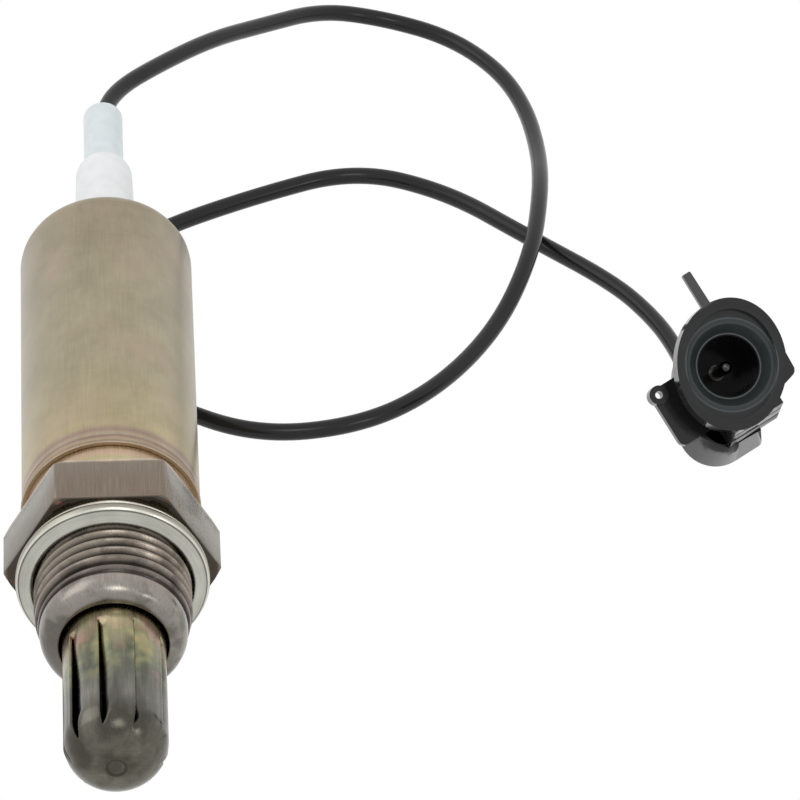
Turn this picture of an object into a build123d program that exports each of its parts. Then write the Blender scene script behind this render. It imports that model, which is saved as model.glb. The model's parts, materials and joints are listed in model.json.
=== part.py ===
from build123d import *
import os
from math import asin, cos, pi, radians, sin, tan

# One-wire exhaust oxygen sensor with its lead and connector, in millimetres.
# +Z is up and the floor is z = 0. The sensor lies along +Y with its tip towards -Y. Its folded
# washer rests on the floor in front, and its sleeve leans on the lead that passes beneath it.
# Distances "along" the sensor are counted from the washer seat, positive towards the lead.

os.makedirs("parts", exist_ok=True)

# ---- driving dimensions --------------------------------------------------------------------

# Lead
lead_diameter = 2.1
lead_entry = 3.0
lead_exit = 0.8
rest_gap = 0.3
crossing_reach = 48.0

# Hexagon, thread and nose of the shell
hex_across_flats = 21.6
hex_thickness = 7.1
hex_turned_radius = 12.4
hex_face_radius = 11.75
hex_chamfer_angle = 30.0
thread_diameter = 18.0
thread_end = 9.8
relief_radius = 8.2
relief_length = 2.7
nose_radius = 8.4
nose_reach = 13.3
nose_corner = 2.4
collar_radius = 9.95
collar_end = 10.9
spigot_end = 17.5
shell_lip_thickness = 0.8
shell_lip_radius = 5.6
rim_chamfer = 0.4

# Folded sealing washer
washer_radius = 11.3
washer_inner_radius = 9.2
washer_thickness = 2.4
washer_sheet = 0.5
washer_fold_radius = 11.0
washer_tail_radius = 10.1
washer_bend = 0.3

# Louvred protection tube
tube_radius = 5.85
tube_wall = 0.45
tube_reach = 34.3
tube_dome_corner = 4.5
tube_flange_radius = 6.9
tube_flange_seat = 9.1
tube_clearance = 0.1
louvre_count = 9
louvre_start = 15.2
louvre_tip_margin = 1.7
louvre_width = 2.0
louvre_press_angle = 32.0
louvre_turn = 1.8
louvre_side_gap = 0.25
tip_dimple_radius = 0.9
tip_dimple_depth = 0.15

# Ceramic sensing element and the stack above it
main_bore_radius = 4.7
stack_bore_radius = 6.5
stack_clearance = 0.1
element_seat = 1.0
gasket_thickness = 0.6
element_reach = 27.5
element_tip_radius = 2.9
element_tip_rounding = 2.6
element_root_radius = 3.9
element_bore_radius = 1.7
element_bottom = 2.0
element_collar_thickness = 4.4
element_neck_radius = 4.6
element_neck_length = 6.0
talc_thickness = 4.5
support_shoulder = 16.5
support_radius = 5.2
support_end = 40.0
support_bore_radius = 1.6
spring_thickness = 0.4

# Contact, stem and crimp
contact_reach = 8.0
contact_end = 6.0
contact_clearance = 0.1
stem_radius = 0.85
stem_start = -3.0
stem_end = 52.5
stem_clearance = 0.05
crimp_start = 50.0
crimp_end = 66.0
crimp_radius = 1.5
crimp_lead_start = 57.5
contact_slot_width = 0.4
contact_slot_length = 6.0

# Protective sleeve
sleeve_radius = 10.3
sleeve_wall = 0.6
sleeve_end = 60.7
sleeve_shoulder = 2.6
sleeve_fit = 0.05
sleeve_bead_height = 0.12
sleeve_bead_length = 1.5

# Fluoropolymer bush and hose
bush_start = 45.0
bush_root_radius = 3.9
bush_neck_radius = 3.42
bush_neck_end = 77.9
bush_end = 79.2
bush_mouth_radius = 2.6
bush_bore_radius = 1.6
bush_clearance = 0.1
bush_shoulder_round = 0.6
hose_start = 68.0
hose_reach = 90.6
hose_radius = 2.42
hose_bore_radius = 1.25
hose_rounding = 0.9
hose_fit = 0.05

# Connector: place, direction and housing
mouth_x = 73.38
mouth_y = 2.64
mouth_rise = 42.0
mouth_heading = 10.0
mouth_roll = 24.0
collar_minor_radius = 6.6
collar_major_radius = 7.9
collar_major_angle = 58.0
mouth_collar_depth = 2.5
mouth_step_scale = 0.83
mouth_step_depth = 0.8
mouth_cone_radius = 4.9
mouth_cone_depth = 2.0
mouth_rim_radius = 3.9
mouth_bore_radius = 3.6
mouth_bore_depth = 9.0
web_end = 10.0
barrel_radius = 4.5
rear_radius = 3.7
housing_depth = 16.0
seal_pocket_radius = 3.0
seal_pocket_depth = 5.0
key_corners = [(6.3, -1.6), (6.15, -4.75), (4.1, -5.3)]
key_rounding = 0.9
pad_front_middle = -0.6
pad_rear_middle = -0.9
pad_width = 6.8
pad_front_drop = 7.05
pad_rear_drop = 8.3
ledge_end = 5.5
skirt_front_left = 6.6
skirt_front_right = 0.2
skirt_front_drop = 8.9
skirt_front_corner = 3.6
skirt_rear_left = 7.6
skirt_rear_right = 1.2
skirt_rear_drop = 10.1
skirt_rear_corner = 4.6
skirt_right_rounding = 0.8
skirt_end = 12.0
latch_gap_wall = 0.75
latch_gap_right = 0.9
latch_gap_end = 11.0
wing_left = 9.1
wing_right = 3.0
wing_top = 2.3
wing_bottom = 5.3
wing_thickness = 1.2
wing_rounding = 0.8
hinge_eye_x = -8.3
hinge_eye_y = 1.45
hinge_eye_radius = 1.15
hinge_eye_bore = 0.45
hinge_eye_depth = 1.8

# Connector: terminal, seal and rear lock
pin_radius = 0.75
pin_rounding = 0.65
pin_tip_depth = 3.0
terminal_wall = 0.4
terminal_bore_depth = 10.4
terminal_end = 12.6
terminal_neck_radius = 0.95
terminal_neck_start = 8.8
seal_rib_depth = 0.3
seal_length = 3.2
seal_rib_count = 3
lock_radius = 4.4
lock_start = 12.3
lock_end = 14.2
lock_clearance = 0.1
lock_finger_x = 4.25
lock_finger_reach = 12.0
lock_finger_width = 1.1
lock_finger_root = 1.35
lock_finger_depth = 1.0
lock_finger_rounding = 0.2

# ---- frames ---------------------------------------------------------------------------------

lead_radius = lead_diameter / 2
lift = lead_diameter + rest_gap + sleeve_radius - washer_radius
tilt = asin(lift / (crossing_reach + washer_sheet))
seat_z = washer_radius * cos(tilt) + washer_sheet * sin(tilt)
seat_y = (tube_reach - hose_reach) * cos(tilt) / 2

seat_point = Vector(0, seat_y, seat_z)
sensor_direction = Vector(0, cos(tilt), sin(tilt))
SENSOR_AXIS = Axis(seat_point, sensor_direction)
SEAT = Plane(origin=seat_point, x_dir=(-1, 0, 0), z_dir=sensor_direction)
SECTION = Plane(origin=seat_point, x_dir=sensor_direction, z_dir=(1, 0, 0))

rise = radians(mouth_rise)
heading = radians(mouth_heading)
roll = radians(mouth_roll)
mouth_direction = Vector(cos(rise) * sin(heading), -cos(rise) * cos(heading), sin(rise))

# The rounded lower corner of the connector's skirt, at its rear end, stands on the floor.
corner_x = skirt_rear_corner - skirt_rear_left
corner_y = skirt_rear_corner - skirt_rear_drop
skirt_support = skirt_rear_corner - corner_x * sin(roll) - corner_y * cos(roll)
mouth_z = skirt_end * sin(rise) + skirt_support * cos(rise)
mouth_point = Vector(mouth_x, mouth_y, mouth_z)
across_mouth = Vector(cos(heading), sin(heading), 0).rotate(Axis((0, 0, 0), mouth_direction), mouth_roll)
MOUTH = Plane(origin=mouth_point, x_dir=across_mouth, z_dir=mouth_direction)
MOUTH_SECTION = Plane(origin=mouth_point, x_dir=-mouth_direction, z_dir=across_mouth)
MOUTH_AXIS = Axis(mouth_point, mouth_direction)


def corner_near(sketch, x, y):
    """The corner of a sketch that lies nearest to a point of its own plane."""
    return sketch.vertices().sort_by_distance((x, y))[0]


# ---- sensor: shell, washer and protection tube ----------------------------------------------

# Hexagon, turned down at its corners and chamfered on both faces.
chamfer_rise = (hex_turned_radius - hex_face_radius) * tan(radians(hex_chamfer_angle))
with BuildPart() as turned_hexagon:
    with BuildSketch(SEAT):
        RegularPolygon(radius=hex_across_flats / 2, side_count=6, major_radius=False)
    extrude(amount=hex_thickness)
    with BuildSketch(SECTION):
        with BuildLine():
            Polyline(
                (0, 0),
                (0, hex_face_radius),
                (chamfer_rise, hex_turned_radius),
                (hex_thickness - chamfer_rise, hex_turned_radius),
                (hex_thickness, hex_face_radius),
                (hex_thickness, 0),
                close=True,
            )
        make_face()
    revolve(axis=SENSOR_AXIS, mode=Mode.INTERSECT)

# Steel shell: threaded barrel and nose in front of the hexagon, collar and spigot behind it.
tube_bore = tube_radius + tube_clearance
with BuildPart() as hex_shell:
    with BuildSketch(SECTION) as shell_outline:
        with BuildLine():
            Polyline(
                (-nose_reach, 0),
                (-nose_reach, nose_radius),
                (-thread_end, nose_radius),
                (-thread_end, thread_diameter / 2),
                (-relief_length, thread_diameter / 2),
                (-relief_length, relief_radius),
                (0, relief_radius),
                (0, collar_radius),
                (collar_end, collar_radius),
                (collar_end, sleeve_radius - sleeve_wall - sleeve_fit),
                (spigot_end + shell_lip_thickness, sleeve_radius - sleeve_wall - sleeve_fit),
                (spigot_end + shell_lip_thickness, 0),
                close=True,
            )
        make_face()
        fillet(corner_near(shell_outline, -nose_reach, nose_radius), nose_corner)
        chamfer(corner_near(shell_outline, -thread_end, thread_diameter / 2), rim_chamfer)
        chamfer(corner_near(shell_outline, spigot_end + shell_lip_thickness, sleeve_radius), rim_chamfer)
    revolve(axis=SENSOR_AXIS)
    add(turned_hexagon.part)
    with BuildSketch(SECTION):
        with BuildLine():
            Polyline(
                (-nose_reach, 0),
                (-nose_reach, tube_bore),
                (-tube_flange_seat - tube_wall - tube_clearance, tube_bore),
                (-tube_flange_seat - tube_wall - tube_clearance, tube_flange_radius + tube_clearance),
                (-tube_flange_seat, tube_flange_radius + tube_clearance),
                (-tube_flange_seat, main_bore_radius),
                (element_seat, main_bore_radius),
                (element_seat, stack_bore_radius),
                (spigot_end, stack_bore_radius),
                (spigot_end, shell_lip_radius),
                (spigot_end + shell_lip_thickness, shell_lip_radius),
                (spigot_end + shell_lip_thickness, 0),
                close=True,
            )
        make_face()
    revolve(axis=SENSOR_AXIS, mode=Mode.SUBTRACT)
hex_shell.part.label = "hex_shell"
export_step(hex_shell.part, "parts/hex_shell.step")

# Crush gasket: one strip folded three times, open groove outwards, loose on the thread relief.
fold_route = [
    (-washer_sheet / 2, washer_radius),
    (-washer_sheet / 2, washer_inner_radius + washer_sheet / 2),
    (-washer_thickness + washer_sheet / 2, washer_inner_radius + washer_sheet / 2),
    (-washer_thickness + washer_sheet / 2, washer_fold_radius),
    (-washer_thickness / 2, washer_fold_radius),
    (-washer_thickness / 2, washer_tail_radius),
]
with BuildPart() as sealing_washer:
    with BuildSketch(SECTION):
        with BuildLine():
            FilletPolyline(*fold_route, radius=washer_bend)
        trace(line_width=washer_sheet)
    revolve(axis=SENSOR_AXIS)
sealing_washer.part.label = "sealing_washer"
export_step(sealing_washer.part, "parts/sealing_washer.step")

# Louvre flaps: the pressed-in sides of the tube's slits, trimmed to the tube's outer form.
louvre_length = tube_reach - louvre_start - louvre_tip_margin
with BuildPart() as louvre_flaps:
    flap_width = louvre_width - louvre_side_gap + tube_wall
    with BuildSketch(SEAT.offset(-louvre_start - louvre_width / 2)):
        with PolarLocations(tube_radius - tube_wall / 2, louvre_count, start_angle=louvre_turn):
            with Locations(Location((0, louvre_width / 2 + tube_wall / 2, 0), -louvre_press_angle)):
                Rectangle(tube_wall, flap_width, align=(Align.CENTER, Align.MAX))
    extrude(amount=-(louvre_length - louvre_width))
    with BuildSketch(SECTION) as tube_envelope:
        with Locations((-(tube_reach + tube_flange_seat) / 2, tube_radius / 2)):
            Rectangle(tube_reach - tube_flange_seat, tube_radius)
        fillet(corner_near(tube_envelope, -tube_reach, tube_radius), tube_dome_corner)
    revolve(axis=SENSOR_AXIS, mode=Mode.INTERSECT)

# Protection tube: deep-drawn cup with a flange held in the nose. Each louvre is a slit whose
# one side is pressed inwards, so that gas turns on its way to the ceramic.
tube_inner = tube_radius - tube_wall
with BuildPart() as protection_tube:
    with BuildSketch(SECTION) as cup_outline:
        with BuildLine():
            Polyline(
                (-tube_flange_seat, tube_inner),
                (-tube_flange_seat, tube_flange_radius),
                (-tube_flange_seat - tube_wall, tube_flange_radius),
                (-tube_flange_seat - tube_wall, tube_radius),
                (-tube_reach, tube_radius),
                (-tube_reach, 0),
                (-tube_reach + tube_wall, 0),
                (-tube_reach + tube_wall, tube_inner),
                close=True,
            )
        make_face()
        fillet(corner_near(cup_outline, -tube_reach, tube_radius), tube_dome_corner)
        fillet(
            corner_near(cup_outline, -tube_reach + tube_wall, tube_inner),
            tube_dome_corner - tube_wall,
        )
    revolve(axis=SENSOR_AXIS)
    louvre_middle = SEAT.offset(-louvre_start - louvre_length / 2)
    louvre_angles = [louvre_turn + 360 * i / louvre_count for i in range(louvre_count)]
    slit_planes = [
        Plane(
            origin=louvre_middle.origin,
            x_dir=sensor_direction,
            z_dir=louvre_middle.x_dir.rotate(Axis((0, 0, 0), sensor_direction), angle),
        )
        for angle in louvre_angles
    ]
    with BuildSketch(*slit_planes):
        SlotOverall(louvre_length, louvre_width)
    extrude(amount=tube_radius + tube_clearance, mode=Mode.SUBTRACT)
    add(louvre_flaps.part)
    with BuildSketch(SEAT.offset(-tube_reach)):
        Circle(tip_dimple_radius)
    extrude(amount=tip_dimple_depth, mode=Mode.SUBTRACT)
protection_tube.part.label = "protection_tube"
export_step(protection_tube.part, "parts/protection_tube.step")


# ---- sensor: ceramic element and the stack that seals it -------------------------------------

# Closed-end zirconia thimble; its collar sits on the shoulder of the shell through a gasket.
stack_radius = stack_bore_radius - stack_clearance
gasket_end = element_seat + gasket_thickness
element_collar_end = gasket_end + element_collar_thickness
element_end = element_collar_end + element_neck_length
with BuildPart() as sensor_element:
    with BuildSketch(SECTION) as thimble_outline:
        with BuildLine():
            Polyline(
                (-element_reach, 0),
                (-element_reach, element_tip_radius),
                (element_seat, element_root_radius),
                (gasket_end, element_root_radius),
                (gasket_end, stack_radius),
                (element_collar_end, stack_radius),
                (element_collar_end, element_neck_radius),
                (element_end, element_neck_radius),
                (element_end, element_bore_radius),
                (-element_reach + element_bottom, element_bore_radius),
                (-element_reach + element_bottom, 0),
                close=True,
            )
        make_face()
        fillet(corner_near(thimble_outline, -element_reach, element_tip_radius), element_tip_rounding)
    revolve(axis=SENSOR_AXIS)
sensor_element.part.label = "sensor_element"
export_step(sensor_element.part, "parts/sensor_element.step")

# Soft metal ring under the collar of the thimble.
with BuildPart() as element_gasket:
    with BuildSketch(SEAT.offset(element_seat)):
        Circle(stack_radius)
        Circle(main_bore_radius + stack_clearance, mode=Mode.SUBTRACT)
    extrude(amount=gasket_thickness)
element_gasket.part.label = "element_gasket"
export_step(element_gasket.part, "parts/element_gasket.step")

# Pressed talc ring that seals the gap round the neck of the thimble.
talc_end = element_collar_end + talc_thickness
with BuildPart() as talc_ring:
    with BuildSketch(SEAT.offset(element_collar_end)):
        Circle(stack_radius)
        Circle(element_neck_radius + stack_clearance, mode=Mode.SUBTRACT)
    extrude(amount=talc_thickness)
talc_ring.part.label = "talc_ring"
export_step(talc_ring.part, "parts/talc_ring.step")

# Ceramic support tube: presses on the talc in front and guides the stem behind.
with BuildPart() as support_ceramic:
    with BuildSketch(SECTION):
        with BuildLine():
            Polyline(
                (talc_end, element_neck_radius + stack_clearance),
                (talc_end, stack_radius),
                (support_shoulder, stack_radius),
                (support_shoulder, support_radius),
                (support_end, support_radius),
                (support_end, support_bore_radius),
                (element_end + stack_clearance, support_bore_radius),
                (element_end + stack_clearance, element_neck_radius + stack_clearance),
                close=True,
            )
        make_face()
    revolve(axis=SENSOR_AXIS)
support_ceramic.part.label = "support_ceramic"
export_step(support_ceramic.part, "parts/support_ceramic.step")

# Dished spring washer between the ceramic's shoulder and the rolled lip of the shell.
with BuildPart() as disc_spring:
    with BuildSketch(SECTION):
        with BuildLine():
            Polyline(
                (support_shoulder, stack_radius),
                (support_shoulder + spring_thickness, stack_radius),
                (spigot_end, shell_lip_radius),
                (spigot_end, support_radius + stack_clearance),
                (spigot_end - spring_thickness, support_radius + stack_clearance),
                close=True,
            )
        make_face()
    revolve(axis=SENSOR_AXIS)
disc_spring.part.label = "disc_spring"
export_step(disc_spring.part, "parts/disc_spring.step")

# Sprung contact sleeve in the bore of the thimble, slotted so that it grips.
contact_radius = element_bore_radius - contact_clearance
stem_bore = stem_radius + stem_clearance
with BuildPart() as contact_sleeve:
    with BuildSketch(SEAT.offset(-contact_reach)):
        Circle(contact_radius)
        Circle(stem_bore, mode=Mode.SUBTRACT)
    extrude(amount=contact_reach + contact_end)
    with BuildSketch(SEAT.offset(-contact_reach)):
        Rectangle(contact_radius * 3, contact_slot_width)
    extrude(amount=contact_slot_length, mode=Mode.SUBTRACT)
contact_sleeve.part.label = "contact_sleeve"
export_step(contact_sleeve.part, "parts/contact_sleeve.step")

# Contact stem: carries the signal from the thimble up to the crimp.
with BuildPart() as contact_stem:
    with BuildSketch(SEAT.offset(stem_start)):
        Circle(stem_radius)
    extrude(amount=stem_end - stem_start)
contact_stem.part.label = "contact_stem"
export_step(contact_stem.part, "parts/contact_stem.step")

# Crimp ferrule: stem in its front bore, lead in its rear bore.
with BuildPart() as crimp_terminal:
    with BuildSketch(SEAT.offset(crimp_start)):
        Circle(crimp_radius)
    extrude(amount=crimp_end - crimp_start)
    with BuildSketch(SEAT.offset(crimp_start)):
        Circle(stem_bore)
    extrude(amount=stem_end - crimp_start, mode=Mode.SUBTRACT)
    with BuildSketch(SEAT.offset(crimp_end)):
        Circle(lead_radius + stem_clearance)
    extrude(amount=crimp_lead_start - crimp_end, mode=Mode.SUBTRACT)
crimp_terminal.part.label = "crimp_terminal"
export_step(crimp_terminal.part, "parts/crimp_terminal.step")


# ---- sensor: sleeve, bush and hose -----------------------------------------------------------

# Drawn stainless sleeve, welded to the spigot behind the collar and closed in round the bush.
sleeve_inner = sleeve_radius - sleeve_wall
with BuildPart() as protective_sleeve:
    with BuildSketch(SECTION) as sleeve_outline:
        with BuildLine():
            Polyline(
                (collar_end, sleeve_inner),
                (collar_end, sleeve_radius + sleeve_bead_height),
                (collar_end + sleeve_bead_length, sleeve_radius + sleeve_bead_height),
                (collar_end + sleeve_bead_length, sleeve_radius),
                (sleeve_end, sleeve_radius),
                (sleeve_end, bush_root_radius + bush_clearance),
                (sleeve_end - sleeve_wall, bush_root_radius + bush_clearance),
                (sleeve_end - sleeve_wall, sleeve_inner),
                close=True,
            )
        make_face()
        fillet(corner_near(sleeve_outline, sleeve_end, sleeve_radius), sleeve_shoulder)
        fillet(
            corner_near(sleeve_outline, sleeve_end - sleeve_wall, sleeve_inner),
            sleeve_shoulder - sleeve_wall,
        )
    revolve(axis=SENSOR_AXIS)
protective_sleeve.part.label = "protective_sleeve"
export_step(protective_sleeve.part, "parts/protective_sleeve.step")

# Fluoropolymer bush: its flange fills the end of the sleeve, its neck comes out and tapers.
flange_radius = sleeve_inner - bush_clearance
flange_end = sleeve_end - sleeve_wall
with BuildPart() as ptfe_bush:
    with BuildSketch(SECTION) as bush_outline:
        with BuildLine():
            Polyline(
                (bush_start, bush_bore_radius),
                (bush_start, flange_radius),
                (flange_end, flange_radius),
                (flange_end, bush_root_radius),
                (bush_neck_end, bush_neck_radius),
                (bush_end, bush_mouth_radius),
                (bush_end, hose_radius + hose_fit),
                (hose_start, hose_radius + hose_fit),
                (hose_start, bush_bore_radius),
                close=True,
            )
        make_face()
        fillet(corner_near(bush_outline, flange_end, flange_radius), sleeve_shoulder)
        fillet(corner_near(bush_outline, bush_neck_end, bush_neck_radius), bush_shoulder_round)
    revolve(axis=SENSOR_AXIS)
ptfe_bush.part.label = "ptfe_bush"
export_step(ptfe_bush.part, "parts/ptfe_bush.step")

# Narrow hose pushed into the mouth of the bush, rounded over at its free end.
with BuildPart() as ptfe_hose:
    with BuildSketch(SECTION) as hose_outline:
        with Locations(((hose_start + hose_reach) / 2, (hose_bore_radius + hose_radius) / 2)):
            Rectangle(hose_reach - hose_start, hose_radius - hose_bore_radius)
        fillet(corner_near(hose_outline, hose_reach, hose_radius), hose_rounding)
    revolve(axis=SENSOR_AXIS)
ptfe_hose.part.label = "ptfe_hose"
export_step(ptfe_hose.part, "parts/ptfe_hose.step")


# ---- lead ------------------------------------------------------------------------------------

# Straight stretch of the lead inside the bush and the hose, held by the crimp.
with BuildPart() as lead_end:
    with BuildSketch(SEAT.offset(crimp_lead_start)):
        Circle(lead_radius)
    extrude(amount=hose_reach - lead_entry - crimp_lead_start)
lead_end.part.label = "lead_end"
export_step(lead_end.part, "parts/lead_end.step")

# Free lead: from just inside the hose, down to the floor in a wide loop, under the sleeve in a U-turn,
# beneath its own loop and up into the rear of the connector.
lead_start = seat_point + sensor_direction * (hose_reach - lead_entry)
rear_point = mouth_point - mouth_direction * housing_depth
half_rise = rise / 2
bend_run = (rear_point.Z - lead_radius) / (sin(rise) + sin(half_rise))
bend_direction = Vector(cos(half_rise) * sin(heading), -cos(half_rise) * cos(heading), sin(half_rise))
upper_bend = rear_point - mouth_direction * bend_run
lower_bend = upper_bend - bend_direction * bend_run
floor = lead_radius
lead_route = [
    lead_start,
    lead_start + sensor_direction * (lead_entry + lead_exit),
    Vector(2.0, 68.5, 13.9),
    Vector(7.0, 75.0, 13.0),
    Vector(14.0, 84.0, 10.9),
    Vector(20.5, 92.0, 7.6),
    Vector(28.5, 100.5, 4.3),
    Vector(36.5, 102.0, 1.9),
    Vector(45.0, 98.5, floor),
    Vector(51.0, 90.5, floor),
    Vector(54.0, 81.5, floor),
    Vector(55.0, 70.0, 1.9),
    Vector(54.5, 57.5, 4.3),
    Vector(52.5, 43.5, 4.3),
    Vector(47.5, 31.5, 1.6),
    Vector(39.5, 20.0, floor),
    Vector(30.0, 13.0, floor),
    Vector(17.5, 11.5, floor),
    Vector(6.5, 18.5, floor),
    Vector(-2.5, 26.0, floor),
    Vector(-5.0, 36.5, floor),
    Vector(-2.5, 47.0, floor),
    Vector(6.0, 55.5, floor),
    Vector(18.5, 62.5, floor),
    Vector(31.5, 68.0, floor),
    Vector(43.0, 62.5, floor),
    Vector(52.5, 52.0, floor),
    Vector(62.5, 41.5, floor),
    Vector(67.0, 33.5, floor),
    Vector(69.2, 26.7, floor),
    lower_bend,
    upper_bend,
    rear_point,
]
legs = [end - start for start, end in zip(lead_route, lead_route[1:])]
bend_radii = [
    0.45 * min(before.length, after.length) / tan(radians(before.get_angle(after)) / 2)
    for before, after in zip(legs, legs[1:])
]
with BuildPart() as lead:
    with BuildLine() as lead_path:
        FilletPolyline(*lead_route, radius=bend_radii)
    with BuildSketch(Plane(origin=lead_start, z_dir=sensor_direction)):
        Circle(lead_radius)
    sweep(path=lead_path.wire())
lead.part.label = "lead"
export_step(lead.part, "parts/lead.step")
lead_length = lead_path.wire().length
print("bend radii", [round(radius, 1) for radius in bend_radii])
print("runs", [round(leg.length, 1) for leg in legs])
print("lead length", round(lead_length, 1))
print("lead volume over section times length", lead.part.volume / (pi * lead_radius**2 * lead_length))

# Straight end of the lead inside the connector, through the seal into the terminal's crimp.
with BuildPart() as lead_tip:
    with BuildSketch(MOUTH.offset(-housing_depth)):
        Circle(lead_radius)
    extrude(amount=housing_depth - terminal_bore_depth)
lead_tip.part.label = "lead_tip"
export_step(lead_tip.part, "parts/lead_tip.step")


# ---- connector -------------------------------------------------------------------------------

terminal_radius = lead_radius + terminal_wall

# Moulded shroud: oval mouth collar with a key rib and a stepped well, round barrel behind it, and
# a stepped pad below that widens into a hollow skirt. A hinged wing stands on the skirt's side.
with BuildPart() as connector_housing:
    with BuildSketch(MOUTH):
        Ellipse(collar_major_radius, collar_minor_radius, rotation=collar_major_angle)
    extrude(amount=-mouth_collar_depth)
    with BuildSketch(MOUTH) as key_rib:
        with BuildLine():
            Polyline((0, 0), *key_corners, close=True)
        make_face()
        fillet(corner_near(key_rib, *key_corners[1]), key_rounding)
    extrude(amount=-mouth_collar_depth)
    with BuildSketch(MOUTH.offset(-mouth_collar_depth)):
        Circle(barrel_radius)
    extrude(amount=mouth_collar_depth - skirt_end)
    with BuildSketch(MOUTH):
        with Locations((pad_front_middle, 0)):
            Rectangle(pad_width, pad_front_drop, align=(Align.CENTER, Align.MAX))
    with BuildSketch(MOUTH.offset(-ledge_end)):
        with Locations((pad_rear_middle, 0)):
            Rectangle(pad_width, pad_rear_drop, align=(Align.CENTER, Align.MAX))
    loft()
    with BuildSketch(MOUTH.offset(-ledge_end)) as skirt_front:
        with Locations((-skirt_front_left, 0)):
            Rectangle(
                skirt_front_left + skirt_front_right, skirt_front_drop, align=(Align.MIN, Align.MAX)
            )
        fillet(corner_near(skirt_front, -skirt_front_left, -skirt_front_drop), skirt_front_corner)
        fillet(corner_near(skirt_front, skirt_front_right, -skirt_front_drop), skirt_right_rounding)
    with BuildSketch(MOUTH.offset(-skirt_end)) as skirt_rear:
        with Locations((-skirt_rear_left, 0)):
            Rectangle(skirt_rear_left + skirt_rear_right, skirt_rear_drop, align=(Align.MIN, Align.MAX))
        fillet(corner_near(skirt_rear, -skirt_rear_left, -skirt_rear_drop), skirt_rear_corner)
        fillet(corner_near(skirt_rear, skirt_rear_right, -skirt_rear_drop), skirt_right_rounding)
    loft()
    with BuildSketch(MOUTH.offset(-ledge_end)) as latch_gap:
        gap_left = latch_gap_wall - skirt_front_left
        gap_drop = skirt_front_drop - latch_gap_wall
        with Locations((gap_left, 0)):
            Rectangle(-gap_left - latch_gap_right, gap_drop, align=(Align.MIN, Align.MAX))
        fillet(corner_near(latch_gap, gap_left, -gap_drop), skirt_front_corner - latch_gap_wall)
        Circle(barrel_radius, mode=Mode.SUBTRACT)
    extrude(amount=ledge_end - latch_gap_end, mode=Mode.SUBTRACT)
    with BuildSketch(MOUTH.offset(-ledge_end)) as wing:
        with Locations((-wing_left, wing_top)):
            Rectangle(wing_left - wing_right, wing_top + wing_bottom, align=(Align.MIN, Align.MAX))
        fillet(wing.vertices().group_by(Axis.X)[0], wing_rounding)
    extrude(amount=-wing_thickness)
    with BuildSketch(MOUTH.offset(-ledge_end - wing_thickness)):
        with Locations((hinge_eye_x, hinge_eye_y)):
            Circle(hinge_eye_radius)
    extrude(amount=hinge_eye_depth)
    with BuildSketch(MOUTH.offset(-ledge_end - wing_thickness)):
        with Locations((hinge_eye_x, hinge_eye_y)):
            Circle(hinge_eye_bore)
    extrude(amount=hinge_eye_depth, mode=Mode.SUBTRACT)
    with BuildSketch(MOUTH.offset(-skirt_end)):
        Circle(rear_radius)
    extrude(amount=skirt_end - housing_depth)
    with BuildSketch(MOUTH):
        Ellipse(
            collar_major_radius * mouth_step_scale,
            collar_minor_radius * mouth_step_scale,
            rotation=collar_major_angle,
        )
    extrude(amount=-mouth_step_depth, mode=Mode.SUBTRACT)
    with BuildSketch(MOUTH_SECTION):
        with BuildLine():
            Polyline(
                (0, 0),
                (0, mouth_cone_radius),
                (mouth_step_depth, mouth_cone_radius),
                (mouth_cone_depth, mouth_rim_radius),
                (mouth_cone_depth, mouth_bore_radius),
                (mouth_bore_depth, mouth_bore_radius),
                (mouth_bore_depth, terminal_neck_radius + stem_clearance),
                (web_end, terminal_neck_radius + stem_clearance),
                (web_end, terminal_radius + stem_clearance),
                (housing_depth - seal_pocket_depth, terminal_radius + stem_clearance),
                (housing_depth - seal_pocket_depth, seal_pocket_radius),
                (housing_depth, seal_pocket_radius),
                (housing_depth, 0),
                close=True,
            )
        make_face()
    revolve(axis=MOUTH_AXIS, mode=Mode.SUBTRACT)
connector_housing.part.label = "connector_housing"
export_step(connector_housing.part, "parts/connector_housing.step")

# Male terminal: round pin with a domed tip, a neck through the web and a crimp barrel behind it.
with BuildPart() as male_terminal:
    with BuildSketch(MOUTH_SECTION) as terminal_outline:
        with BuildLine():
            Polyline(
                (pin_tip_depth, 0),
                (pin_tip_depth, pin_radius),
                (terminal_neck_start, pin_radius),
                (terminal_neck_start, terminal_neck_radius),
                (web_end, terminal_neck_radius),
                (web_end, terminal_radius),
                (terminal_end, terminal_radius),
                (terminal_end, lead_radius + stem_clearance),
                (terminal_bore_depth, lead_radius + stem_clearance),
                (terminal_bore_depth, 0),
                close=True,
            )
        make_face()
        fillet(corner_near(terminal_outline, pin_tip_depth, pin_radius), pin_rounding)
    revolve(axis=MOUTH_AXIS)
male_terminal.part.label = "male_terminal"
export_step(male_terminal.part, "parts/male_terminal.step")

# Silicone cable seal with three ribs, pushed over the lead into the rear pocket.
with BuildPart() as cable_seal:
    rib_pitch = seal_length / seal_rib_count
    with BuildSketch(MOUTH.offset(-housing_depth)):
        Circle(seal_pocket_radius - seal_rib_depth)
        Circle(lead_radius + stem_clearance, mode=Mode.SUBTRACT)
    extrude(amount=seal_length)
    for rib in range(seal_rib_count):
        with BuildSketch(MOUTH.offset(-housing_depth + (rib + 0.25) * rib_pitch)):
            Circle(seal_pocket_radius - stem_clearance)
            Circle(lead_radius + stem_clearance, mode=Mode.SUBTRACT)
        extrude(amount=rib_pitch / 2)
cable_seal.part.label = "cable_seal"
export_step(cable_seal.part, "parts/cable_seal.step")

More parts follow.
